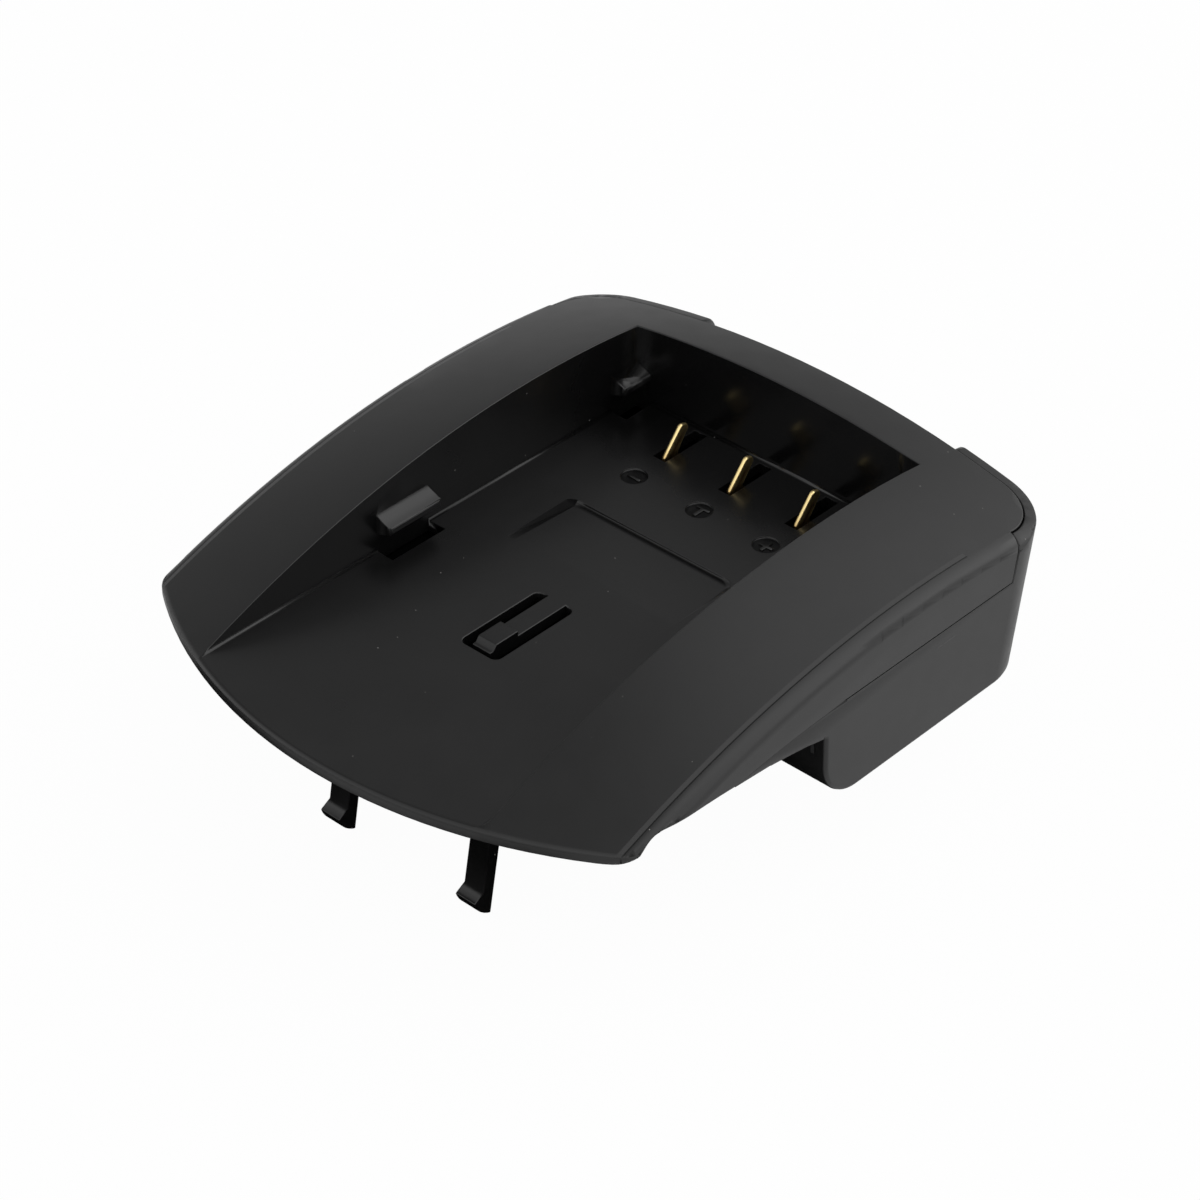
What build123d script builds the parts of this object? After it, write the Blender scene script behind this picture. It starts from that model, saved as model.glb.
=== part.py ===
"""Clip-on charging cradle for a camera battery.

X runs across the cradle and Z points up. Y = 0 is the bay wall behind the contacts, with +Y
towards the back. Z = 0 is the seat, the flat underside that sits on the charger's base.
"""

import math
import os

from build123d import *

# Battery bay
bay_width = 33.8
floor_height = 9.4
floor_thickness = 1.2
bay_wall = 1.3
bay_corner_radius = 0.3

# Cover: a shallow spherical crown over straight sides and a bowed front
plate_width = 57.5
cradle_length = 63.65
front_bow_radius = 48.4
front_corner_radius = 4.0
crown_radius = 111.6
crown_rise = 10.0
crown_apex_y = -13.3
crest_radius = 1.6
cover_wall = 1.3
hollow_front_y = -44.0

# Parting line and the lower edge of the sides, heights above the bay floor
seam_rise = 1.2
seam_arc_radius = 112.0
seam_arc_y = -24.0
sill_rise = 0.55
sill_arc_radius = 100.0
sill_arc_y = -46.8
rim_foot_y = -52.5
seam_gap = 0.1
wing_tip_gap = 0.03

# Lower housing
housing_wall = 1.3
housing_floor = 1.2
housing_front_y = -26.3
housing_front_draft = 2.5
housing_rear_y = 3.7
housing_rear_draft = 9.2
housing_corner_radius = 6.0
housing_edge_radius = 4.6
notch_radius = 0.5
wing_tip_y = -36.3
corner_wrap = 6.4
tab_left_x = -12.5
tab_right_x = 16.4
tab_wall = 1.15
tab_notch_rise = 2.8
tab_top_step = 0.1
tab_end_radius = 0.9

# Battery hooks on the bay's side walls
hook_reach = 1.8
hook_rise = 3.9
hook_fall = 0.75
hook_thickness = 1.4
hook_tip_radius = 0.3
hook_end_radius = 0.35
front_hook_y = -34.9
front_hook_length = 6.6
rear_hook_length = 3.6
hook_window_reach = 2.0

# Latch tongue, cut free on three sides in the bay floor
tongue_width = 2.2
tongue_slot = 1.1
tongue_root_y = -29.4
tongue_length = 9.6
tongue_tip_gap = 0.45
tongue_head_length = 3.6
tongue_head_rise = 0.5
tongue_head_ramp = 0.8
tongue_slot_radius = 0.7

# Shallow recesses in the bay floor
label_width = 18.4
label_rear_y = -16.6
label_length = 8.7
label_depth = 0.45
label_side_run = 0.8
label_corner_radius = 0.8
sign_radius = 1.3
sign_y = -10.2
sign_depth = 0.25

# Contact blades
contact_pitch = 8.0
blade_thickness = 0.5
blade_front_y = -6.2
blade_depth = 2.0
blade_rise = 2.75
blade_lean = 2.3
blade_tip_depth = 1.4
blade_tip_fall = 0.4
blade_tip_radius = 0.55
contact_slot_width = 1.5
contact_slot_front_y = -6.5
contact_slot_rear_y = -0.6
contact_slot_shift = -0.2
pin_width = 0.8
pin_stub = 0.5

# Snap legs
leg_pitch = 16.7
leg_width = 2.35
leg_depth = 1.35
leg_front_y = -48.8
leg_lean = 9.5
leg_drop = 9.6
barb_reach = 1.15
barb_drop = 0.65
barb_height = 2.15

# Circuit board and what it carries
board_side_gap = 0.7
board_length = 20.0
board_thickness = 1.2
board_rear_y = -1.5
board_lift = 0.8
board_post_size = 3.0
board_post_inset = 2.2
hold_down_x = 13.0
hold_down_y = -11.5
hold_down_size = 2.2
pin_slot_gap = 0.15
terminal_width = 3.0
terminal_length = 5.0
terminal_y = -14.0
terminal_recess = 0.4
terminal_window_gap = 0.3
resistor_size = (3.2, 1.6, 0.6)
resistor_y = -15.0

# Screws that hold the housing to the cover
screw_inset = 5.15
screw_y = -13.0
screw_radius = 1.0
screw_length = 9.0
screw_head_radius = 1.9
screw_head_height = 1.4
screw_head_recess = 0.3
screw_clearance = 0.1
screw_cross_width = 0.5
screw_cross_length = 2.2
screw_cross_depth = 0.7
boss_size = 4.4
socket_wall = 0.9
socket_shoulder = 1.2

# Derived
FAR = 90.0
half_bay = bay_width / 2
half_plate = plate_width / 2
front_reach = cradle_length - housing_rear_y
pan_half = half_bay + bay_wall
screw_x = half_plate - screw_inset
socket_reach = screw_head_radius + screw_clearance + socket_wall
board_width = 2 * (screw_x - socket_reach - board_side_gap)
floor_under = floor_height - floor_thickness
seam_z = floor_height + seam_rise
crown_centre_z = floor_height + crown_rise - crown_radius
rear_slope = math.tan(math.radians(housing_rear_draft))
front_slope = math.tan(math.radians(housing_front_draft))
board_bottom = housing_floor + board_lift
board_top = board_bottom + board_thickness
board_centre_y = board_rear_y - board_length / 2
tongue_tip_y = tongue_root_y - tongue_length
pin_y = blade_front_y + blade_depth / 2
shoulder_z = screw_head_recess + screw_head_height
socket_top = shoulder_z + socket_shoulder
screw_tip_z = shoulder_z + screw_length
contact_xs = {"minus": -contact_pitch, "sense": 0.0, "plus": contact_pitch}


def rear_y(z):
    """Y of the housing's sloping rear face at height z."""
    return housing_rear_y + z * rear_slope


def front_y(z):
    """Y of the housing's front face at height z."""
    return housing_front_y - z * front_slope


def block(x0, x1, y0, y1, z0, z1):
    """Box between two corners."""
    size = (x1 - x0, y1 - y0, z1 - z0)
    return Pos((x0 + x1) / 2, (y0 + y1) / 2, (z0 + z1) / 2) * Box(*size)


def side_slab(face_yz, x0, x1):
    """Extrude a face drawn in Y and Z from x0 to x1."""
    return Pos(x0, 0, 0) * extrude(Plane.YZ * face_yz, x1 - x0, dir=(1, 0, 0))


def outline(*edges):
    """Face inside a closed run of edges."""
    return make_face(Curve() + list(edges))


def mirrored(part):
    """A part together with its mirror image in X = 0."""
    return part + mirror(part, Plane.YZ)


def crown(inset=0.0):
    """Ball whose top is the cover's outer skin, or a skin inset from it."""
    return Pos(0, crown_apex_y, crown_centre_z) * Sphere(crown_radius - inset)


def crested_crown():
    """Crown between flat sides, with rounded crests, turned about the crown's cross axis."""
    ball_x = half_plate - crest_radius
    ball_rise = math.sqrt((crown_radius - crest_radius) ** 2 - ball_x**2)
    reach = crown_radius / (crown_radius - crest_radius)
    top = (ball_x * reach, ball_rise * reach)
    core = crown_radius / 2
    profile = outline(
        ThreePointArc((-top[0], top[1]), (0, crown_radius), top),
        TangentArc(top, (half_plate, ball_rise), tangent=(ball_rise, -ball_x)),
        Polyline((half_plate, ball_rise), (half_plate, core), (-half_plate, core)),
        Line((-half_plate, core), (-half_plate, ball_rise)),
        TangentArc((-top[0], top[1]), (-half_plate, ball_rise), tangent=(-ball_rise, -ball_x)),
    )
    turned = revolve(Plane.XZ * profile, Axis.X)
    return Pos(0, crown_apex_y, crown_centre_z) * turned


def raked_prism(half_width, rear_inset, corner, front=-FAR):
    """Prism that leans with the housing's rear face, with two rounded rear corners."""
    low, high = -FAR / 3, FAR / 3
    depth = rear_y(low) - rear_inset - front
    plan = Pos(0, front + depth / 2) * Rectangle(2 * half_width, depth)
    plan = fillet(plan.vertices().group_by(Axis.Y)[-1], corner)
    rake = Vector(0, rear_slope, 1).normalized()
    return Pos(0, 0, low) * extrude(plan, (high - low) / rake.Z, dir=rake)


def behind_wrap(shift=0.0):
    """Everything behind the raked plane where the housing's corner walls begin."""
    low, high = -FAR / 3, FAR / 3
    start = corner_wrap + shift
    face = Polygon(
        (rear_y(low) - start, low),
        (FAR, low),
        (FAR, high),
        (rear_y(high) - start, high),
        align=None,
    )
    return side_slab(face, -FAR, FAR)


def arc_height(y, apex_y, apex_rise, radius):
    """Height at y on an arc that falls away on both sides of its apex."""
    return floor_height + apex_rise - radius + math.sqrt(radius**2 - (y - apex_y) ** 2)


def seam_at(y):
    return arc_height(y, seam_arc_y, seam_rise, seam_arc_radius)


def sill_at(y):
    return arc_height(y, sill_arc_y, sill_rise, sill_arc_radius)


def meet_y():
    """Y where the falling seam meets the rising sill, by halving."""
    low, high = sill_arc_y, seam_arc_y
    for _ in range(40):
        mid = (low + high) / 2
        low, high = (mid, high) if sill_at(mid) > seam_at(mid) else (low, mid)
    return low


def arc_yz(y0, y1, height):
    mid = (y0 + y1) / 2
    return ThreePointArc((y0, height(y0)), (mid, height(mid)), (y1, height(y1)))


def below_cover():
    """Space under the cover's lower edge, seen from the side."""
    join = meet_y()
    rim = Polyline(
        (rim_foot_y, floor_under),
        (-FAR, floor_under),
        (-FAR, -FAR / 3),
        (FAR, -FAR / 3),
        (FAR, seam_z),
        (seam_arc_y, seam_z),
    )
    level = (-1, 0)
    ramp = Spline((sill_arc_y, sill_at(sill_arc_y)), (rim_foot_y, floor_under), tangents=[level, level])
    sill = arc_yz(sill_arc_y, join, sill_at)
    seam = arc_yz(join, seam_arc_y, seam_at)
    return side_slab(outline(rim, ramp, sill, seam), -FAR, FAR)


def front_trim():
    """Plan shape with the bowed front edge and its rounded corners."""
    bow = Pos(0, front_bow_radius - front_reach) * Circle(front_bow_radius)
    plan = bow & Pos(0, -FAR / 3) * Rectangle(plate_width, 4 * FAR / 3)
    plan = fillet(plan.vertices().group_by(Axis.Y)[0], front_corner_radius)
    return Pos(0, 0, -FAR / 3) * extrude(plan, FAR)


def cover_block():
    """Solid outer form of the cover, before it is hollowed."""
    outside_nest = behind_wrap() - nest_prism(tab_wall + seam_gap)
    return front_trim() & (crested_crown() - outside_nest)


def nest_prism(inset):
    """Rear end of the cover, set in behind the housing's corner walls."""
    corner = housing_corner_radius - inset
    return raked_prism(half_plate - inset, inset, corner, front=-2 * corner_wrap)


def cover_hollow():
    """Space under the rails and behind the bay, open below."""
    reach = half_plate - cover_wall
    sides = block(-reach, reach, hollow_front_y, -corner_wrap, -FAR / 3, FAR / 3)
    inset = tab_wall + seam_gap + cover_wall
    corner = housing_corner_radius - inset
    rear = raked_prism(half_plate - inset, inset, corner, front=hollow_front_y)
    core = (sides + rear) & crown(cover_wall)
    return core - block(-pan_half, pan_half, -FAR, bay_wall, -FAR / 3, FAR / 3)


def hook(y0, length):
    """Sloping hook on the left wall that keeps a battery down."""
    top = floor_height + hook_rise
    root = -half_bay - bay_wall / 2
    tip = -half_bay + hook_reach
    face = Polygon(
        (root, top),
        (-half_bay, top),
        (tip, top - hook_fall),
        (tip, top - hook_fall - hook_thickness / 2),
        (-half_bay, top - hook_fall - hook_thickness),
        (root, top - hook_fall - hook_thickness),
        align=None,
    )
    face = fillet(face.vertices().group_by(Axis.X)[-1], hook_tip_radius)
    plan = Pos((root + tip) / 2, y0 + length / 2) * Rectangle(tip - root, length)
    plan = fillet(plan.vertices().group_by(Axis.X)[-1], hook_end_radius)
    return Pos(0, y0, 0) * extrude(Plane.XZ * face, length, dir=(0, 1, 0)) & extrude(plan, FAR)


def hook_window(y0, y1):
    """Moulding window through the floor under a hook of the left wall."""
    low = floor_under - floor_thickness
    return block(-half_bay, hook_window_reach - half_bay, y0, y1, low, floor_height + floor_thickness)


def latch_slot():
    """Slot round three sides of the latch tongue."""
    front = tongue_tip_y - tongue_tip_gap
    length = tongue_root_y - front
    slot = Pos(0, front + length / 2) * Rectangle(tongue_width + 2 * tongue_slot, length)
    slot = fillet(slot.vertices(), tongue_slot_radius)
    slot -= Pos(0, tongue_root_y - tongue_length / 2) * Rectangle(tongue_width, tongue_length)
    return Pos(0, 0, floor_under - floor_thickness) * extrude(slot, 3 * floor_thickness)


def floor_cuts():
    """Windows, latch slot, contact slots and shallow recesses in the bay floor."""
    front_window = hook_window(front_hook_y, front_hook_y + front_hook_length)
    cuts = mirrored(front_window + hook_window(-rear_hook_length, 0)) + latch_slot()
    for x in contact_xs.values():
        left = x + contact_slot_shift - contact_slot_width / 2
        right = left + contact_slot_width
        low = floor_under - floor_thickness
        cuts += block(left, right, contact_slot_front_y, contact_slot_rear_y, low, seam_z)
        cuts += Pos(x, sign_y, floor_height) * Cylinder(sign_radius, 2 * sign_depth)
    return cuts + label_recess()


def label_recess():
    """Wedge that is deepest at its rear wall, with sloping sides and rounded rear corners."""
    low, high = floor_height - label_depth, floor_height + label_depth
    wedge = Polygon(
        (label_rear_y, high),
        (label_rear_y, low),
        (label_rear_y - label_length, floor_height),
        (label_rear_y - label_length, high),
        align=None,
    )
    narrow, wide = label_width / 2, label_width / 2 + 2 * label_side_run
    section = Polygon((-wide, high), (-narrow, low), (narrow, low), (wide, high), align=None)
    sides = Pos(0, label_rear_y, 0) * extrude(Plane.XZ * section, label_length, dir=(0, -1, 0))
    recess = side_slab(wedge, -wide, wide) & sides
    corners = recess.edges().filter_by(lambda edge: abs(edge.center().Y - label_rear_y) < seam_gap)
    corners = corners.filter_by(Axis.X, reverse=True)
    return fillet(corners, label_corner_radius)


def tongue_head():
    """Raised end of the latch tongue, ramped at its tip."""
    rear = tongue_tip_y + tongue_head_length
    face = Polygon(
        (rear, floor_under),
        (rear, floor_height + tongue_head_rise),
        (tongue_tip_y + tongue_head_ramp, floor_height + tongue_head_rise),
        (tongue_tip_y, floor_height - tongue_head_rise),
        (tongue_tip_y, floor_under),
        align=None,
    )
    return side_slab(face, -tongue_width / 2, tongue_width / 2)


def snap_leg():
    """Right-hand leg under the front, with a forward barb and a curved lead-in."""
    lean = math.tan(math.radians(leg_lean))
    tip_z = barb_height - leg_drop
    catch_z = tip_z + barb_drop
    tip_y = leg_front_y - barb_reach
    top_y = leg_front_y + (floor_under - catch_z) * lean
    foot_y = leg_front_y - (catch_z + leg_drop) * lean + leg_depth
    sides = Polyline(
        (foot_y, -leg_drop),
        (top_y + leg_depth, floor_under),
        (top_y, floor_under),
        (leg_front_y, catch_z),
        (tip_y, tip_z),
    )
    lead = TangentArc((tip_y, tip_z), (foot_y, -leg_drop), tangent=(barb_drop, -barb_height))
    x = leg_pitch / 2
    return side_slab(outline(sides, lead), x - leg_width / 2, x + leg_width / 2)


def screw_boss():
    """Right-hand square boss that hangs from the cover's crown and takes a screw."""
    low, reach = socket_top + seam_gap, boss_size / 2
    boss = block(screw_x - reach, screw_x + reach, screw_y - reach, screw_y + reach, low, FAR / 3)
    hole_top = screw_tip_z + screw_clearance
    boss -= Pos(screw_x, screw_y, hole_top / 2) * Cylinder(screw_radius, hole_top)
    return boss & crown(cover_wall / 2)


def hold_down():
    """Right-hand post under the bay floor that keeps the circuit board seated."""
    reach = hold_down_size / 2
    x0, x1 = hold_down_x - reach, hold_down_x + reach
    return block(x0, x1, hold_down_y - reach, hold_down_y + reach, board_top, floor_under)


def on_bay_corner(edge):
    """True for an edge where the bay floor meets a bay wall."""
    start, middle, end = edge @ 0, edge @ 0.5, edge @ 1
    level = max(abs(point.Z - floor_height) for point in (start, middle, end)) < seam_gap
    at_wall = abs(middle.Y) < seam_gap or abs(abs(middle.X) - half_bay) < seam_gap
    return level and at_wall


def cradle_cover():
    """Top moulding: rails, bay, hooks, latch tongue and snap legs in one piece."""
    pan = block(-pan_half, pan_half, -FAR, bay_wall, floor_under, FAR / 3)
    cover = cover_block() - (below_cover() - pan) - cover_hollow()
    cover -= block(-half_bay, half_bay, -FAR, 0, floor_height, FAR / 3)
    cover = fillet(cover.edges().filter_by(on_bay_corner), bay_corner_radius)
    cover -= floor_cuts()
    hooks = hook(front_hook_y, front_hook_length)
    hooks += hook(-rear_hook_length, rear_hook_length + bay_wall / 2)
    cover += mirrored(hooks) + tongue_head()
    return cover + mirrored(snap_leg() + screw_boss() + hold_down())


def housing_block(inset, z0, edge_radius):
    """Housing form at a given inset, from height z0 upwards, with its lower edges rounded."""
    high = FAR / 3
    corners = [
        (front_y(z0) + inset, z0),
        (rear_y(z0) - inset, z0),
        (rear_y(high) - inset, high),
        (front_y(high) + inset, high),
    ]
    profile = Polygon(*corners, align=None)
    profile = fillet(profile.vertices().group_by(Axis.Y)[0], edge_radius)
    corner = housing_corner_radius - inset
    return side_slab(profile, -FAR, FAR) & raked_prism(half_plate - inset, inset, corner)


def rim_at(y):
    """Height of the housing's rim at y: the gap under the cover closes towards the wing's tip."""
    closing = max(0.0, (seam_arc_y - y) / (seam_arc_y - wing_tip_y))
    return seam_at(y) - seam_gap + closing * (seam_gap - wing_tip_gap)


def above_rim():
    """Space above the housing's rim, seen from the side."""
    back = Polyline(
        (seam_arc_y, rim_at(seam_arc_y)),
        (FAR, rim_at(seam_arc_y)),
        (FAR, FAR),
        (wing_tip_y, FAR),
        (wing_tip_y, rim_at(wing_tip_y)),
    )
    return side_slab(outline(back, arc_yz(wing_tip_y, seam_arc_y, rim_at)), -FAR, FAR)


def wing():
    """Right-hand wedge that fairs the housing into the cover's lower edge, with a rounded root."""
    root = housing_front_y + housing_wall
    notch_y = front_y(sill_at(housing_front_y))
    notch_z = sill_at(notch_y)
    foot_z = notch_z - notch_radius
    sides = Polyline(
        (wing_tip_y, sill_at(wing_tip_y)),
        (wing_tip_y, seam_z),
        (root, seam_z),
        (root, foot_z),
        (front_y(foot_z), foot_z),
        (notch_y, notch_z),
    )
    face = outline(sides, arc_yz(notch_y, wing_tip_y, sill_at))
    face = fillet(face.vertices().sort_by_distance((notch_y, notch_z))[0], notch_radius)
    return side_slab(face, pan_half + seam_gap, half_plate)


def tab_end_edge(walls, x):
    """Top edge of the tab that ends at x."""
    return walls.edges().filter_by(lambda edge: abs(edge.center().X - x) < seam_gap).sort_by(Axis.Z)[-1]


def corner_walls():
    """Rear wall above the seam, wrapped round both corners, with a low gap between its tabs."""
    walls = raked_prism(half_plate, 0, housing_corner_radius) - nest_prism(tab_wall)
    walls = walls & behind_wrap(-seam_gap) & Pos(0, 0, -tab_top_step) * crested_crown()
    walls -= block(-FAR, FAR, -FAR, FAR, -FAR, seam_z - seam_gap)
    walls -= block(tab_left_x, tab_right_x, 0, FAR, seam_z + tab_notch_rise, FAR)
    ends = [tab_end_edge(walls, x) for x in (tab_left_x, tab_right_x)]
    return fillet(ends, tab_end_radius)


def screw_socket():
    """Right-hand square pillar for a screw head, counterbored from below."""
    x0, x1 = screw_x - socket_reach, screw_x + socket_reach
    return block(x0, x1, screw_y - socket_reach, screw_y + socket_reach, 0, socket_top)


def screw_bore():
    """Right-hand counterbore and clearance hole."""
    bore = Pos(screw_x, screw_y, shoulder_z / 2) * Cylinder(screw_head_radius + screw_clearance, shoulder_z)
    hole = Pos(screw_x, screw_y, socket_top / 2) * Cylinder(screw_radius + screw_clearance, socket_top)
    return bore + hole


def base_housing():
    """Bottom moulding: box, side wings and the walls that wrap the cover's rear corners."""
    tray = housing_block(0, 0, housing_edge_radius)
    tray -= housing_block(housing_wall, housing_floor, housing_edge_radius - housing_wall)
    tray += mirrored(wing())
    tray -= above_rim()
    tray -= block(-pan_half - seam_gap, pan_half + seam_gap, -FAR, 0, floor_under - seam_gap, FAR)
    housing = tray + corner_walls() + mirrored(screw_socket())
    post_x = board_width / 2 - board_post_inset
    post_y = board_length / 2 - board_post_inset
    for x in (-post_x, post_x):
        for y in (board_centre_y - post_y, board_centre_y + post_y):
            housing += Pos(x, y, board_bottom / 2) * Box(board_post_size, board_post_size, board_bottom)
    housing -= mirrored(screw_bore())
    reach_x = terminal_width / 2 + terminal_window_gap
    reach_y = terminal_length / 2 + terminal_window_gap
    for x in contact_xs.values():
        y0, y1 = terminal_y - reach_y, terminal_y + reach_y
        housing -= block(x - reach_x, x + reach_x, y0, y1, -housing_floor, 2 * housing_floor)
    return housing


def contact(x):
    """Stamped blade that leans back out of the floor, with a solder pin through the board."""
    rear = blade_front_y + blade_depth
    tip_front = blade_front_y + blade_lean
    tip_z = floor_height + blade_rise
    face = Polygon(
        (blade_front_y, floor_height),
        (blade_front_y, board_top),
        (pin_y - pin_width / 2, board_top),
        (pin_y - pin_width / 2, board_bottom - pin_stub),
        (pin_y + pin_width / 2, board_bottom - pin_stub),
        (pin_y + pin_width / 2, board_top),
        (rear, board_top),
        (rear, floor_height),
        (tip_front + blade_tip_depth, tip_z - blade_tip_fall),
        (tip_front, tip_z),
        align=None,
    )
    face = fillet(face.vertices().sort_by(Axis.Y)[-2:], blade_tip_radius)
    return side_slab(face, x - blade_thickness / 2, x + blade_thickness / 2)


def circuit_board():
    board = Pos(0, board_centre_y, board_bottom + board_thickness / 2)
    board *= Box(board_width, board_length, board_thickness)
    for x in contact_xs.values():
        slot = Box(blade_thickness + 2 * pin_slot_gap, pin_width + 2 * pin_slot_gap, 4 * board_thickness)
        board -= Pos(x, pin_y, board_bottom) * slot
    return board


def terminal(x):
    """Flat pad under the board that the charger's base touches through a window."""
    y0, y1 = terminal_y - terminal_length / 2, terminal_y + terminal_length / 2
    return block(x - terminal_width / 2, x + terminal_width / 2, y0, y1, terminal_recess, board_bottom)


def coding_resistor():
    """Chip resistor on the board, between the sense and plus contacts."""
    length, width, height = resistor_size
    return Pos(contact_pitch / 2, resistor_y, board_top + height / 2) * Box(length, width, height)


def housing_screw(side):
    """Pan-head screw, driven upwards into the cover's boss."""
    screw = Pos(0, 0, screw_head_recess + screw_head_height / 2)
    screw *= Cylinder(screw_head_radius, screw_head_height)
    screw += Pos(0, 0, shoulder_z + screw_length / 2) * Cylinder(screw_radius, screw_length)
    for turn in (0, 90):
        cross = Box(screw_cross_length, screw_cross_width, 2 * screw_cross_depth)
        screw -= Pos(0, 0, screw_head_recess) * Rot(0, 0, turn) * cross
    return Pos(side * screw_x, screw_y, 0) * screw


def all_parts():
    parts = {"cradle_cover": cradle_cover(), "base_housing": base_housing()}
    for name, x in contact_xs.items():
        parts[f"contact_{name}"] = contact(x)
        parts[f"terminal_{name}"] = terminal(x)
    parts["circuit_board"] = circuit_board()
    parts["coding_resistor"] = coding_resistor()
    parts["housing_screw_left"] = housing_screw(-1)
    parts["housing_screw_right"] = housing_screw(1)
    return parts


os.makedirs("parts", exist_ok=True)
for node, part in all_parts().items():
    export_step(part, f"parts/{node}.step")
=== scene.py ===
# %% [markdown]
# # A clip-on charging cradle for a camera battery
#
# This lesson dresses a finished CAD model. The solids already have the right form, size and place, so
# nothing is remodelled here. What is left is what the eye judges: eased edges that catch a thin line of
# light, satin black plastic, gold contact blades, small raised signs, and a bright room for all of it to
# reflect. The model is loaded first, and its box is kept.

# %% Load the imported model
import math

import bmesh
import bpy
from mathutils import Matrix, Vector
from mathutils.bvhtree import BVHTree


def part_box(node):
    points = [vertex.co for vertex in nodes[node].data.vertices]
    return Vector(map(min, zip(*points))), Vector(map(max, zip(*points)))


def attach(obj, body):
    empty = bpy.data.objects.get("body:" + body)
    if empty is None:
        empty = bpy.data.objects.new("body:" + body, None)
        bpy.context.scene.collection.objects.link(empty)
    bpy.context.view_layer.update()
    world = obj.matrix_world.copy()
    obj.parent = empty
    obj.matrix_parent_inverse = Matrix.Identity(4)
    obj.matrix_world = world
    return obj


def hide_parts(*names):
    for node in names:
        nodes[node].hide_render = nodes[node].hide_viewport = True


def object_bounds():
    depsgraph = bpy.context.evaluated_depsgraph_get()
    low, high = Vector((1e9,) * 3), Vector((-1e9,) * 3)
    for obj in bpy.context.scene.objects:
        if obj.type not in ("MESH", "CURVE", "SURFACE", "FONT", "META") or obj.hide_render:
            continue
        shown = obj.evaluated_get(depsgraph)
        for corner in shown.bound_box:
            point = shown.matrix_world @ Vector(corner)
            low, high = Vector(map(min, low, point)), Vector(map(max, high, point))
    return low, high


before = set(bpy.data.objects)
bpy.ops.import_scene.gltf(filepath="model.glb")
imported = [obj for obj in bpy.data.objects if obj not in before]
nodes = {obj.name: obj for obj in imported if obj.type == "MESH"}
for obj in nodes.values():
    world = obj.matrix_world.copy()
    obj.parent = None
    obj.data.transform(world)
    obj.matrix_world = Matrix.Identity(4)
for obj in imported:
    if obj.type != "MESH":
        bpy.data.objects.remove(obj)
cad_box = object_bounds()
MM = 0.001

print("nodes:", sorted(nodes))
print("box in mm:", [round((high - low) / MM, 2) for low, high in zip(*cad_box)])

# %% [markdown]
# ## Places that later cells share
#
# A few heights and widths are needed by the signs and by the finishes. Most are read from the boxes of the
# solids, so they follow the CAD if it changes. The half width of the bay and the row of the signs are given.
# The bay floor is the one level that no box gives. It lies a known step below the top of the contact blades,
# because that is how far the blades stand out of it.

# %% Measure the frame
blade_low, blade_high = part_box("contact_sense")
outer_low, outer_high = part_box("contact_plus")

blade_rise = 2.673 * MM
floor_z = blade_high.z - blade_rise
contact_pitch = (outer_low.x + outer_high.x) / 2
half_bay = 16.9 * MM
sign_y = -10.2 * MM
half_width = cad_box[1][0]
front_y = cad_box[0][1]
ground_z = cad_box[0][2]

print("bay floor at", round(floor_z / MM, 2), "mm, contacts", round(contact_pitch / MM, 2), "mm apart")

# %% [markdown]
# ## A small language for finishes
#
# A finish is a graph of nodes, and wiring one by hand takes many lines. This class holds one output socket.
# Adding or multiplying two of them adds the Math node that does it, so a mask can be written as a formula.
# Every other kind of node comes from one method, which sets the node's own options first and then fills or
# links its sockets.

# %% A wire that does arithmetic
class Wire:
    def __init__(self, socket):
        self.socket = socket

    def node(self, kind, settings, inputs, output=0):
        added = self.socket.id_data.nodes.new(kind)
        for name, value in settings.items():
            setattr(added, name, value)
        for name, value in inputs.items():
            if isinstance(value, Wire):
                self.socket.id_data.links.new(value.socket, added.inputs[name])
            else:
                added.inputs[name].default_value = value
        return Wire(added.outputs[output])

    def math(self, operation, *others):
        inputs = dict(enumerate((self, *others)))
        return self.node("ShaderNodeMath", {"operation": operation}, inputs)

    def __add__(self, other):
        return self.math("ADD", other)

    def __radd__(self, other):
        return self.math("ADD", other)

    def __mul__(self, other):
        return self.math("MULTIPLY", other)

    def __rmul__(self, other):
        return self.math("MULTIPLY", other)

    def __sub__(self, other):
        return self.math("SUBTRACT", other)

    def __rsub__(self, other):
        return (self * -1.0).math("ADD", other)

    def below(self, level):
        return self.math("LESS_THAN", level)

    def above(self, level):
        return self.math("GREATER_THAN", level)

    def clamp(self):
        return self.math("MINIMUM", 1.0).math("MAXIMUM", 0.0)

    def noise(self, size, detail=2.0):
        inputs = {"Vector": self, "Scale": 1.0 / size, "Detail": detail}
        return self.node("ShaderNodeTexNoise", {}, inputs)

    def mix(self, under, over):
        inputs = {"Factor": self, 6: under, 7: over}
        return self.node("ShaderNodeMix", {"data_type": "RGBA"}, inputs, 2)

    def axis(self, letter):
        return self.node("ShaderNodeSeparateXYZ", {}, {"Vector": self}, letter)


print("a wire can add, scale, compare, clamp, mix and make noise")

# %% [markdown]
# Every finish starts in the same way: a new material, its main shader with the values that never change, and
# a wire that gives the place on the object in metres. Patterns measured in that place stay with the cradle
# when it moves. A second helper leads finished wires into the shader.

# %% Start and connect a finish
def blank_finish(name, **constants):
    """A material, its main shader, and a wire with the place on the object in metres."""
    material = bpy.data.materials.new(name)
    material.use_nodes = True
    shader = material.node_tree.nodes["Principled BSDF"]
    for socket, value in constants.items():
        shader.inputs[socket.replace("_", " ")].default_value = value
    place = material.node_tree.nodes.new("ShaderNodeTexCoord").outputs["Object"]
    return material, shader, Wire(place)


def connect(shader, **wires):
    """Lead wires into a shader's sockets."""
    for socket, wire in wires.items():
        target = shader.inputs[socket.replace("_", " ")]
        wire.socket.id_data.links.new(wire.socket, target)


print("finish helpers ready")

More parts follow.
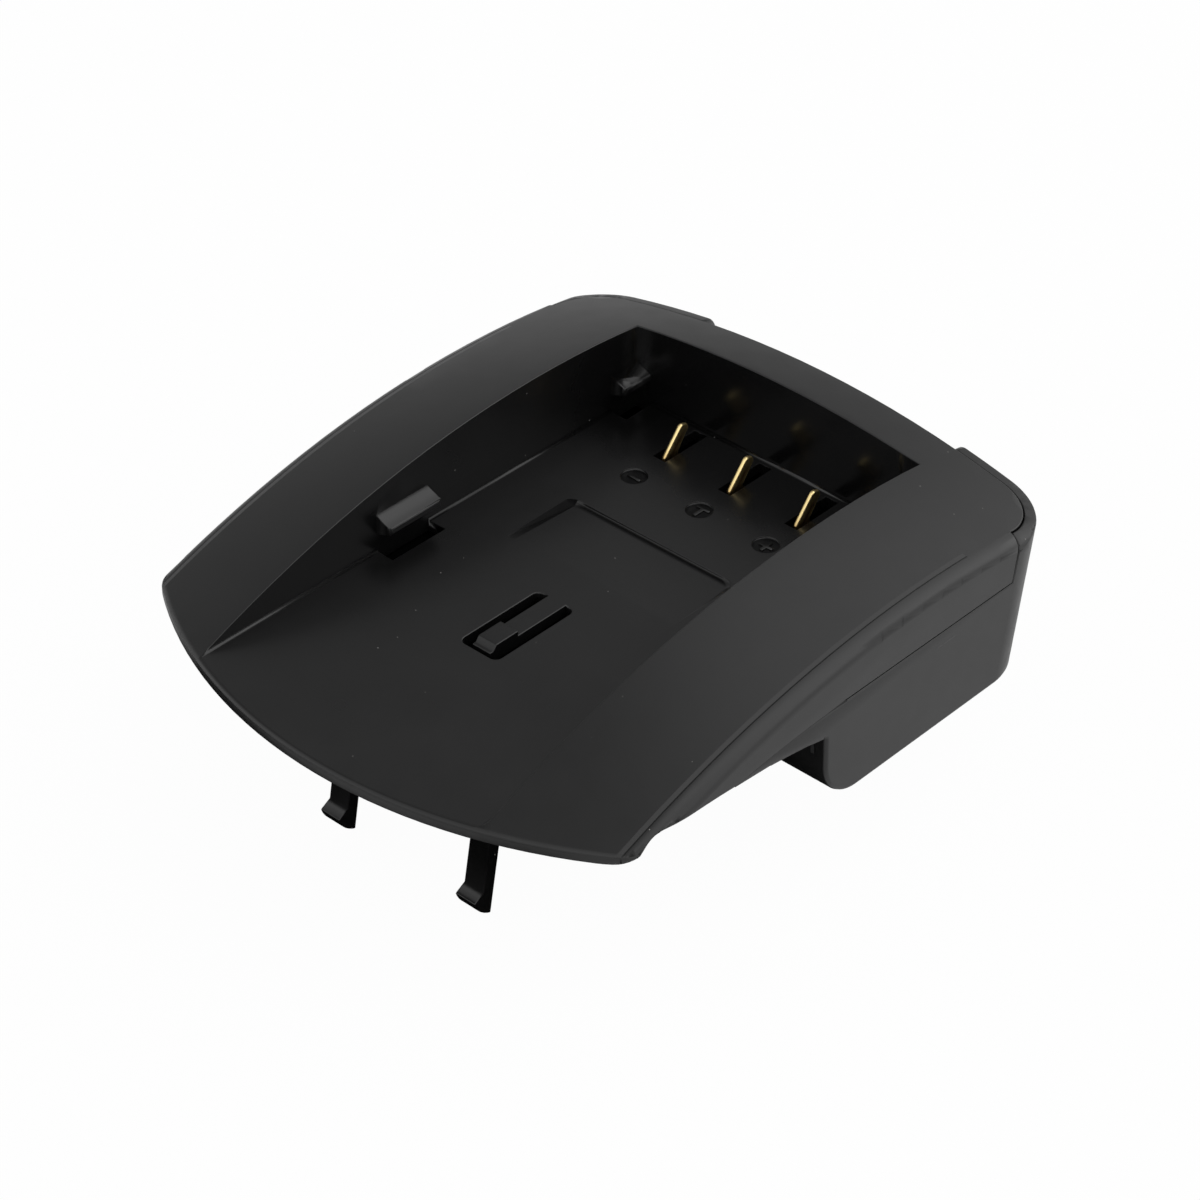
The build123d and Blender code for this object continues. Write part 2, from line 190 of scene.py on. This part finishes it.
# %% [markdown]
# ## Black moulded plastic
#
# Both mouldings are black ABS. Four of their details are finer than a solid needs to show: the hairline
# along each crest, where the tool's top and side inserts meet, the soft lip along the bowed front, the dish
# of the three round recesses, and the slope that fades out along the left of the plate recess. Each is
# written as a height above the surface, and a bump turns the height into shading.

# %% Moulded details as heights
def crest_hairline(across, along, height):
    """Height of a slight dip towards each crest that ends in a sharp little step."""
    line_x, dip, step, depth = half_width - 1.32 * MM, 0.4 * MM, 0.12 * MM, 0.1 * MM
    lowest, rear_end = floor_z - 4 * MM, -6.5 * MM
    beyond = across.math("ABSOLUTE") - line_x
    falling, rising = 1.0 + beyond * (1.0 / dip), 1.0 - beyond * (1.0 / step)
    groove = falling.math("MINIMUM", rising).math("MAXIMUM", 0.0)
    return groove * height.above(lowest) * along.below(rear_end) * -depth


def front_lip(across, along):
    """Height of the rounding along the bowed front edge."""
    bow, lip, fall, bow_depth = 48.4 * MM, 0.45 * MM, 0.4, 9 * MM
    back_from_centre = along - (front_y + bow)
    radius = (across * across + back_from_centre * back_from_centre).math("SQRT")
    inside_lip = (radius - (bow - lip)).math("MAXIMUM", 0.0)
    return inside_lip * inside_lip * (-fall / lip) * along.below(front_y + bow_depth)


def dished_recess(across, along, height):
    """Height of a slant in the round recesses, which turns them to the dark rear wall."""
    slant, reach = 0.16, 1.35 * MM
    low = height.below(floor_z - 0.2 * MM) * height.above(floor_z - 0.3 * MM)
    in_row = (along - sign_y).math("ABSOLUTE").below(reach)
    return (across * 0.67 - along * 0.74) * low * in_row * slant


def plate_recess_side(across, along, height):
    """Height of a slant on the left side of the plate recess, which turns it to the dark left wall."""
    foot_x, top_x, slant = -9.15 * MM, -10.1 * MM, 0.8
    front_end, rear_end, fade = -25.5 * MM, -16.6 * MM, 7 * MM
    on_side = across.below(foot_x) * across.above(top_x) * height.below(floor_z - 0.01 * MM)
    fading = ((along - front_end) * (1.0 / fade)).clamp() * along.below(rear_end)
    return (across - foot_x) * on_side * fading * slant


def moulded_details(place):
    """All four heights, one on top of the other."""
    across, along, height = (place.axis(letter) for letter in "XYZ")
    fine_lines = crest_hairline(across, along, height) + front_lip(across, along)
    return fine_lines + dished_recess(across, along, height) + plate_recess_side(across, along, height)


print("four moulded details")

# %% [markdown]
# The tool has a finely sparked surface. Black plastic has almost no colour of its own: the greys that show
# are the room, seen in a blurred, weak reflection. So the finish is a very dark base, a middling roughness
# that drifts a little from place to place, and a grain about a tenth of a millimetre across that softens
# each highlight. The inside of the bay is smoother than the outside, because that part of the tool is
# polished to let a battery slide out, and it is smoothest by the contacts. A few pale specks of dust sit
# where cells of a random pattern happen to cut the surface.

# %% The black plastic
def black_moulding():
    material, shader, place = blank_finish("black_moulding", IOR=1.5)
    across, along = place.axis("X"), place.axis("Y")
    clouds = place.noise(9 * MM)
    smears = place.noise(2.2 * MM, 3.0)
    grain = place.noise(0.11 * MM)

    cells = {"Vector": place, "Scale": 1.0 / (2.6 * MM)}
    speck_distance = place.node("ShaderNodeTexVoronoi", {}, cells, "Distance")
    dust = speck_distance.below(0.024)
    plain = clouds.mix((0.0022, 0.0022, 0.0023, 1.0), (0.0042, 0.0042, 0.0043, 1.0))
    colour = dust.mix(plain, (0.16, 0.155, 0.15, 1.0))

    in_bay = across.math("ABSOLUTE").below(half_bay + 0.03 * MM) * along.below(0.03 * MM)
    by_contacts = in_bay * ((along + 11 * MM) * (1.0 / (8 * MM))).clamp()
    roughness = 0.3 + clouds * 0.1 + smears * 0.06 - in_bay * 0.08 - by_contacts * 0.1 + dust * 0.3
    detailed = place.node("ShaderNodeBump", {}, {"Distance": 1.0, "Height": moulded_details(place)})
    bump = {"Strength": 0.12, "Distance": 0.03 * MM, "Height": grain, "Normal": detailed}
    normal = place.node("ShaderNodeBump", {}, bump)
    connect(shader, Base_Color=colour, Roughness=roughness, Normal=normal)
    return material


black_plastic = black_moulding()
print("made", black_plastic.name)

# %% [markdown]
# ## Gold plate, board, resistor and steel
#
# The contact blades and the pads under the board are brass with a thin gold plate. Bare metal takes its
# colour from the base colour socket, and it only looks like metal when it has both a bright and a dark thing
# to reflect. The drawn blades have faint streaks along their height. A painted shade, a brown darkening of
# the base colour, runs down the middle of each flat side and over the foot, where the blade mirrors the dark
# bay. The shade follows the lean of the blade, so its mask measures how far a point lies behind the leaning
# front edge.

# %% Gold plate
def gold_plate():
    material, shader, place = blank_finish("gold_plate", Metallic=1.0)
    height = place.axis("Z")
    stretch = {"Vector": place, "Scale": (1.0, 1.0, 0.12)}
    streaks = place.node("ShaderNodeMapping", {}, stretch).noise(0.12 * MM)
    lean = 0.836
    behind_edge = place.axis("Y") - blade_low.y - (height - floor_z) * lean
    # painted shade: a brown band down the middle of each flat side, standing in for the dark bay that it
    # mirrors
    painted_side_shade = (1.0 - (behind_edge - 1.0 * MM).math("ABSOLUTE") * (1.0 / (0.6 * MM))).clamp()
    below_tip = ((blade_high.z - 0.5 * MM - height) * (1.0 / (0.9 * MM))).clamp()
    # painted shade: the foot of each blade darker, towards the dark bay floor
    painted_foot_shade = ((floor_z + 0.8 * MM - height) * (1.0 / (1.6 * MM))).clamp()
    painted_shade_mask = painted_side_shade.math("MAXIMUM", painted_foot_shade) * below_tip * height.above(floor_z - 3 * MM)
    # the gold turns dark brown where the painted shade lies
    colour = painted_shade_mask.mix((1.0, 0.79, 0.38, 1.0), (0.4, 0.2, 0.045, 1.0))
    bump = {"Strength": 0.08, "Distance": 0.02 * MM, "Height": streaks}
    normal = place.node("ShaderNodeBump", {}, bump)
    connect(shader, Base_Color=colour, Roughness=0.24 + streaks * 0.12, Normal=normal)
    return material


plated = gold_plate()
print("made", plated.name)

# %% [markdown]
# The board is glass-fibre laminate under a green solder mask. Its copper tracks lie under the mask and show
# as slightly lighter bands. A wave along the board, cut off by a threshold, is enough to draw them. The
# chip resistor is a black body with a tinned cap at each end, so its mask is how far a point lies from its
# middle.

# %% Board and resistor
def solder_mask():
    material, shader, place = blank_finish("solder_mask", Coat_Weight=0.4, Coat_Roughness=0.15)
    weave = place.noise(0.5 * MM)
    bands = {"Vector": place, "Scale": 1.0 / (22 * MM), "Distortion": 1.5}
    tracks = place.node("ShaderNodeTexWave", {"bands_direction": "X"}, bands, "Fac").above(0.72)
    colour = tracks.mix((0.008, 0.075, 0.028, 1.0), (0.02, 0.16, 0.06, 1.0))
    bump = {"Strength": 0.3, "Distance": 0.04 * MM, "Height": tracks + weave * 0.2}
    normal = place.node("ShaderNodeBump", {}, bump)
    connect(shader, Base_Color=colour, Roughness=0.3 + weave * 0.1, Normal=normal)
    return material


def chip_resistor():
    material, shader, place = blank_finish("chip_resistor")
    low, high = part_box("coding_resistor")
    middle = (low.x + high.x) / 2
    cap_start = 0.68 * (high.x - low.x) / 2
    caps = (place.axis("X") - middle).math("ABSOLUTE").above(cap_start)
    grain = place.noise(0.2 * MM)
    colour = caps.mix((0.012, 0.012, 0.014, 1.0), (0.62, 0.62, 0.6, 1.0))
    connect(shader, Base_Color=colour, Metallic=caps, Roughness=0.45 - caps * 0.15 + grain * 0.1)
    return material


green_board = solder_mask()
resistor_finish = chip_resistor()
print("made", green_board.name, "and", resistor_finish.name)

# %% [markdown]
# The two screws are steel with a bright zinc plate. Their heads sit in deep holes under the housing. The
# shank has a fine thread, and because it stays inside the plastic its turns are left to a bump: a sine of
# the height, one wave for each turn.

# %% Zinc-plated steel
def zinc_plate():
    material, shader, place = blank_finish("zinc_plate", Metallic=1.0)
    low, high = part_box("housing_screw_left")
    height = place.axis("Z")
    pitch = 0.8 * MM
    head_top = low.z + 1.5 * MM
    turns = (height * (2 * math.pi / pitch)).math("SINE") * height.above(head_top)
    brushing = place.noise(0.15 * MM)
    colour = brushing.mix((0.5, 0.5, 0.49, 1.0), (0.64, 0.64, 0.62, 1.0))
    bump = {"Strength": 0.5, "Distance": 0.2 * MM, "Height": turns * 0.5 + brushing * 0.05}
    normal = place.node("ShaderNodeBump", {}, bump)
    connect(shader, Base_Color=colour, Roughness=0.26 + brushing * 0.14, Normal=normal)
    return material


screw_steel = zinc_plate()
print("made", screw_steel.name)

# %% [markdown]
# ## Eased edges
#
# CAD edges are perfectly sharp, and a sharp edge never catches light. Moulded, stamped and turned pieces
# all have edges eased by a tenth of a millimetre or two, which show as fine bright lines. The CAD mesh
# itself is left alone, and a copy of it is merged into one skin. The angle between two thin triangles says
# little about the surface, so sharpness is judged by the normals that the CAD stored at the corners of each
# triangle.

# %% A merged copy and its creases
def merged_copy(data):
    """A node's mesh as one closed skin, with the CAD's normals kept at its corners."""
    mesh = bmesh.new()
    mesh.from_mesh(data)
    normals = mesh.loops.layers.float_vector.new("cad_normal")
    for face in mesh.faces:
        for corner, index in zip(face.loops, data.polygons[face.index].loop_indices):
            corner[normals] = data.corner_normals[index].vector
    bmesh.ops.remove_doubles(mesh, verts=mesh.verts, dist=0.002 * MM)
    return mesh, normals


def crease(edge, normals):
    """Angle between the CAD's normals on the two sides of an edge."""
    one, other = edge.link_loops
    at_start = Vector(one[normals]).angle(Vector(other.link_loop_next[normals]), 0.0)
    at_end = Vector(one.link_loop_next[normals]).angle(Vector(other[normals]), 0.0)
    return min(at_start, at_end)


print("copies keep the CAD's normals")

# %% [markdown]
# Each finished mesh becomes an object of its own that rides on the part. Smooth shading alone would bend the
# light across flat faces next to an eased edge, so a modifier lets the large faces decide the normals. Then
# the piece gets its finish.

# %% Finished pieces
def finished_piece(name, mesh):
    """Turn a bmesh into an object that rides on the part, with flat faces shaded flat."""
    data = bpy.data.meshes.new(name)
    mesh.to_mesh(data)
    mesh.free()
    data.shade_smooth()
    piece = bpy.data.objects.new(name, data)
    bpy.context.scene.collection.objects.link(piece)
    piece.modifiers.new("flat_faces_stay_flat", "WEIGHTED_NORMAL")
    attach(piece, "root")
    return piece


def dress(piece, material):
    """Give a piece its finish."""
    piece.data.materials.clear()
    piece.data.materials.append(material)


print("pieces ride on the part")

# %% [markdown]
# Now the easing itself. Flat triangles are dissolved into whole faces, and the sharp outer edges are
# bevelled. Edges much shorter than the bevel are passed over. Where a bevel still throws a point off, the
# point is put back on the original surface.

# %% Ease the edges of a copy
SHARP = math.radians(28)
FLAT = math.radians(0.2)
SHORTEST = 0.05 * MM


def round_edges(mesh, edges, amount):
    """Bevel edges, and put back any point that this throws off the surface."""
    skin = BVHTree.FromBMesh(mesh)
    bmesh.ops.bevel(
        mesh, geom=edges, offset=amount, segments=2, profile=0.5, affect="EDGES", material=-1,
    )
    strays = 0
    for point in mesh.verts:
        nearest, normal, face, distance = skin.find_nearest(point.co)
        if distance > 0.6 * amount:
            point.co = nearest
            strays += 1
    return strays


def eased_copy(node, ease, exceptions, trim):
    """A copy of a CAD node with its sharp edges rounded, standing in for the node."""
    mesh, normals = merged_copy(nodes[node].data)
    level = [edge for edge in mesh.edges if crease(edge, normals) < FLAT]
    bmesh.ops.dissolve_limit(mesh, angle_limit=FLAT, verts=mesh.verts, edges=level)
    trim(mesh)
    outer_edges = [edge for edge in mesh.edges if edge.is_convex and edge.calc_length() > SHORTEST]
    waiting = [edge for edge in outer_edges if crease(edge, normals) > SHARP]
    for here, amount in (*exceptions, (lambda spot: True, ease)):
        middles = {edge: (edge.verts[0].co + edge.verts[1].co) / 2 for edge in waiting if edge.is_valid}
        chosen = [edge for edge, spot in middles.items() if here(spot)]
        waiting = [edge for edge in middles if edge not in set(chosen)]
        strays = round_edges(mesh, chosen, amount) if amount else 0
        print(node, len(chosen), "edges eased by", round(amount / MM, 2), "mm, strays put back:", strays)
    return finished_piece(f"{node}_eased", mesh)


print("edges sharper than", round(math.degrees(SHARP)), "degrees are eased")

# %% [markdown]
# Four runs of edges on the mouldings are exceptions. The outer edges of the housing are broader. Along the
# front of each side the two mouldings close so tightly that their seam nearly vanishes, so nothing is taken
# off there, nor off the thin tips of the housing's wings. The rims of the round recesses and of the contact
# slots stay crisp.

# %% Edges that differ
def on_closed_seam(spot):
    """True on the tight front part of the seam between the two mouldings."""
    seam_front, seam_rear = -39 * MM, -23 * MM
    on_side = abs(spot.x) > half_width - 0.05 * MM
    return on_side and seam_front < spot.y < seam_rear and spot.z > floor_z + 0.2 * MM


def on_wing_tip(spot):
    """True on the thin front end of the housing's wings."""
    thin_from = -33 * MM
    return spot.y < thin_from


def on_base_corner(spot):
    """True on the outer edges of the housing, below the seam."""
    box_front, rear_wall = -27 * MM, 1 * MM
    outside = abs(spot.x) > half_width - 2 * MM or spot.y > rear_wall
    return outside and spot.y > box_front and spot.z < floor_z - 0.4 * MM


def on_crisp_rim(spot):
    """True on the rims of the round recesses and the contact slots in the bay floor."""
    rows_front, rows_rear, half_row = sign_y - 1.4 * MM, -0.4 * MM, 10 * MM
    in_rows = rows_front < spot.y < rows_rear and abs(spot.x) < half_row
    return in_rows and abs(spot.z - floor_z) < 0.02 * MM


exceptions = {
    "cradle_cover": [(on_closed_seam, 0.0), (on_crisp_rim, 0.03 * MM)],
    "base_housing": [(on_closed_seam, 0.0), (on_wing_tip, 0.0), (on_base_corner, 0.4 * MM)],
}
print("edges differ on", sorted(exceptions))

# %% [markdown]
# One thin place is drawn finer than a solid can be cut: the wings of the housing run out to a feather edge
# under the cover. Only the points at the tips of the copy move, by about two millimetres.

# %% Feather edges
def draw_out_wings(mesh):
    """Pull the blunt tips of the housing's wings forward to an edge."""
    blunt_end, sharp_end = -36.2 * MM, -38.6 * MM
    tips = [point for point in mesh.verts if point.co.y < blunt_end]
    for point in tips:
        upper = point.co.z > floor_z + 0.2 * MM
        point.co.y = sharp_end
        point.co.z = floor_z + (0.235 if upper else 0.215) * MM
    print("wing tip points drawn out:", len(tips))


trims = {"base_housing": draw_out_wings}
print("trimmed by hand:", sorted(trims))

# %% [markdown]
# The same few lines now serve every node. Only the amount of easing differs: the mouldings have crisp edges,
# the stamped blades have edges rolled over by the punch, and the screws are tumbled.

# %% Dress every node
SIDES = ("left", "right")
SIGNS = ("minus", "sense", "plus")
dressing = {
    "cradle_cover": (0.12 * MM, black_plastic, "black_plastic"),
    "base_housing": (0.12 * MM, black_plastic, "black_plastic"),
    "circuit_board": (0.05 * MM, green_board, "green_board"),
    "coding_resistor": (0.06 * MM, resistor_finish, "resistor_body"),
}
dressing.update({f"contact_{sign}": (0.2 * MM, plated, "gold_plate") for sign in SIGNS})
dressing.update({f"terminal_{sign}": (0.15 * MM, plated, "gold_plate") for sign in SIGNS})
dressing.update({f"housing_screw_{side}": (0.08 * MM, screw_steel, "screw_steel") for side in SIDES})

for node, (ease, material, slot) in dressing.items():
    piece = eased_copy(node, ease, exceptions.get(node, ()), trims.get(node, lambda mesh: None))
    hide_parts(node)
    dress(piece, material)

# %% [markdown]
# ## Signs in the round recesses
#
# In front of each contact is a shallow round recess with a small raised sign, moulded in one with the
# floor: minus, a mark for the middle contact, and plus. All three are strokes of one width. Each starts as
# a small square, and strokes grow from it by extruding the sides that it needs. Extruding the flat figure
# upwards and easing its top edges makes it a moulded form.

# %% Raised signs
stroke = 0.34 * MM
sign_base = floor_z - 0.25 * MM
sign_rise = 0.12 * MM
DIRECTIONS = {"left": (-1, 0, 0), "right": (1, 0, 0), "front": (0, -1, 0), "back": (0, 1, 0)}


def grow_arm(mesh, start, direction, length):
    """Extrude the side of the starting square that faces a direction."""
    way = Vector(DIRECTIONS[direction])
    side = max(start.edges, key=lambda edge: sum((point.co for point in edge.verts), Vector()).dot(way))
    grown = bmesh.ops.extrude_edge_only(mesh, edges=[side])["geom"]
    ends = [item for item in grown if isinstance(item, bmesh.types.BMVert)]
    bmesh.ops.translate(mesh, verts=ends, vec=way * length)


def raised_sign(name, centre, arms):
    """A raised figure of strokes that meet in one square."""
    mesh = bmesh.new()
    bmesh.ops.create_grid(mesh, x_segments=1, y_segments=1, size=stroke / 2)
    start = next(iter(mesh.faces))
    for direction, length in arms.items():
        grow_arm(mesh, start, direction, length)
    bmesh.ops.recalc_face_normals(mesh, faces=mesh.faces)
    raised = bmesh.ops.extrude_face_region(mesh, geom=mesh.faces[:], use_keep_orig=True)["geom"]
    top = [item for item in raised if isinstance(item, bmesh.types.BMVert)]
    bmesh.ops.translate(mesh, verts=top, vec=(0, 0, sign_rise))
    bmesh.ops.recalc_face_normals(mesh, faces=mesh.faces)
    on_top = [edge for edge in mesh.edges if all(point in top for point in edge.verts)]
    rim = [edge for edge in on_top if edge.calc_face_angle(0.0) > SHARP]
    bmesh.ops.bevel(
        mesh, geom=rim, offset=0.05 * MM, segments=2, profile=0.5, affect="EDGES", material=-1,
    )
    bmesh.ops.translate(mesh, verts=mesh.verts, vec=centre)
    piece = finished_piece(name, mesh)
    dress(piece, black_plastic)
    return piece


arm = 0.58 * MM
raised_sign("sign_minus", (-contact_pitch, sign_y, sign_base), {"left": arm, "right": arm})
raised_sign("sign_sense", (0, sign_y + arm, sign_base), {"left": arm, "right": arm, "front": 2 * arm})
raised_sign("sign_plus", (contact_pitch, sign_y, sign_base), {side: arm for side in DIRECTIONS})
print("raised three signs")

# %% [markdown]
# ## A bright room
#
# The cradle stands on white. A black object shows mostly what it reflects, so the room matters more than the
# lamps: a white floor that the side walls mirror, and a pale sky that the top faces mirror. The floor is
# white to the camera and to reflections and still takes a faint shadow. Little light gets under the cradle,
# so a painted shade lies on the floor there. It is a soft patch of near-black colour that only reflections
# see, and the glow stops in it. The walls of the notch and the legs mirror that painted shade.

# %% Floor finish
def soft_patch(place, centre, reach, blur):
    """Mask of a rectangle on the floor with soft edges."""
    mask = 1.0
    for letter, middle, half in zip("XY", centre, reach):
        beyond = (place.axis(letter) - middle * MM).math("ABSOLUTE") - half * MM
        mask = (1.0 - beyond * (1.0 / (blur * MM))).clamp() * mask
    return mask


def pale_floor():
    material = bpy.data.materials.new("pale_floor")
    material.use_nodes = True
    tree = material.node_tree
    tree.nodes.clear()
    rays = tree.nodes.new("ShaderNodeLightPath")
    camera_ray, glossy_ray = Wire(rays.outputs["Is Camera Ray"]), Wire(rays.outputs["Is Glossy Ray"])
    place = Wire(tree.nodes.new("ShaderNodeTexCoord").outputs["Object"])
    # painted shade: a soft dark patch under the cradle, seen only by reflected rays
    shade = glossy_ray * soft_patch(place, centre=(-10, -36), reach=(34, 36), blur=6)

    # the floor colour turns near black inside the painted shade
    colour = shade.mix((0.75, 0.75, 0.75, 1.0), (0.004, 0.004, 0.004, 1.0))
    paper = place.node("ShaderNodeBsdfDiffuse", {}, {"Color": colour})
    white = place.node("ShaderNodeEmission", {}, {"Color": (1.0, 1.0, 1.0, 1.0), "Strength": 1.0})
    glow = (camera_ray * 0.97 + glossy_ray * 0.3) * (1.0 - shade)
    surface = place.node("ShaderNodeMixShader", {}, {0: glow, 1: paper, 2: white})
    output = tree.nodes.new("ShaderNodeOutputMaterial")
    tree.links.new(surface.socket, output.inputs["Surface"])
    return material


paper_white = pale_floor()
print("made", paper_white.name)

# %% [markdown]
# The floor is one large sheet under the tips of the legs. A small black card is painted shade: it lies close
# under the bay floor, where only the windows and the slot of the latch tongue show it, and it stands in for
# the shade under the cradle so that the white floor does not show through them.

# %% Floor and shade card
def studio_sheet(name, centre, reach, material):
    """A flat rectangle that belongs to the studio, not to the cradle."""
    mesh = bmesh.new()
    bmesh.ops.create_grid(mesh, x_segments=1, y_segments=1, size=1.0)
    bmesh.ops.scale(mesh, verts=mesh.verts, vec=(*reach, 1.0))
    bmesh.ops.translate(mesh, verts=mesh.verts, vec=centre)
    data = bpy.data.meshes.new(name)
    mesh.to_mesh(data)
    mesh.free()
    data.materials.append(material)
    sheet = bpy.data.objects.new(name, data)
    bpy.context.scene.collection.objects.link(sheet)


# painted shade: a near-black card under the bay openings
painted_shade_black = (0.002, 0.002, 0.002, 1.0)
shade_card_finish = blank_finish("painted_shade_card", Base_Color=painted_shade_black, Roughness=1.0, Specular_IOR_Level=0.0)
floor_level = ground_z - 0.02 * MM
card_level = floor_z - 1.7 * MM
studio_sheet("floor", (0, 0, floor_level), (1.5, 1.5), paper_white)
studio_sheet("shade_card", (0, -35 * MM, card_level), (19.5 * MM, 8 * MM), shade_card_finish[0])
print("floor at", round(floor_level / MM, 2), "mm, card at", round(card_level / MM, 2), "mm")

# %% [markdown]
# The sky is bright in front, where the contact tips look for their reflection, and on the right. It is dim
# overhead and at the rear left, where the bay floor and the left rail look, and it pales towards the
# horizon. One broad softbox stands behind the cradle on the right. It is what the crests and the rear of
# the right rail mirror, and the fade across its edge is what shows that the rail is domed.

# %% Sky and softbox
scene = bpy.context.scene
world = bpy.data.worlds.new("studio")
scene.world = world
world.use_nodes = True
sky = world.node_tree.nodes["Background"]
way = Wire(world.node_tree.nodes.new("ShaderNodeTexCoord").outputs["Generated"])
smooth = {"interpolation_type": "SMOOTHSTEP"}
from_front = {"Value": way.axis("Y"), "From Min": -0.5, "From Max": 0.0, "To Min": 0.85, "To Max": 0.32}
from_right = {"Value": way.axis("X"), "From Min": 0.0, "From Max": 0.5, "To Min": 0.0, "To Max": 0.5}
from_horizon = {"Value": way.axis("Z"), "From Min": 0.0, "From Max": 0.55, "To Min": 0.38, "To Max": 0.0}
glows = [way.node("ShaderNodeMapRange", smooth, fade) for fade in (from_front, from_right, from_horizon)]
brightness = (glows[0] + glows[1] + glows[2]).math("MINIMUM", 1.3)
camera_sees = Wire(world.node_tree.nodes.new("ShaderNodeLightPath").outputs["Is Camera Ray"])
world.node_tree.links.new(camera_sees.math("MAXIMUM", brightness).socket, sky.inputs["Color"])
sky.inputs["Strength"].default_value = 1.0

softbox = bpy.data.lights.new("rear_softbox", "AREA")
softbox.shape = "RECTANGLE"
softbox.size, softbox.size_y = 1.24, 1.4
softbox.energy = 4.9
stand = bpy.data.objects.new("rear_softbox", softbox)
toward = Vector((0.37, 0.62, 0.69)).normalized()
stand_off = 0.8
facing = toward.to_track_quat("Z", "Y").to_matrix().to_4x4()
stand.matrix_world = Matrix.Translation(toward * stand_off) @ facing
scene.collection.objects.link(stand)
print("softbox at", [round(value, 2) for value in stand.matrix_world.translation])

# %% [markdown]
# ## The camera
#
# The photograph was taken with a longish lens from the front right, about thirty-six degrees above the
# table. The camera is placed on a line from the point that it looks at, and a very small roll levels the
# picture as the photograph has it.

# %% Camera
azimuth, elevation, roll = (math.radians(angle) for angle in (41.88, 36.29, 0.784))
aim = Vector((2.044, -25.907, 8.623)) * MM
distance = 334.0 * MM

right = Vector((math.cos(azimuth), math.sin(azimuth), 0))
level_back = Vector((math.sin(azimuth), -math.cos(azimuth), 0))
back = level_back * math.cos(elevation) + Vector((0, 0, math.sin(elevation)))
upward = back.cross(right)
turn = Matrix((right, upward, back)).transposed() @ Matrix.Rotation(roll, 3, "Z")

lens = bpy.data.cameras.new("photo_camera")
lens.lens = 112.9
lens.sensor_width = 36.0
lens.clip_start = 0.01
camera = bpy.data.objects.new("photo_camera", lens)
camera.matrix_world = Matrix.Translation(aim + back * distance) @ turn.to_4x4()
scene.collection.objects.link(camera)
scene.camera = camera
scene.view_settings.view_transform = "Standard"
print("camera at", [round(value / MM, 1) for value in camera.matrix_world.translation])
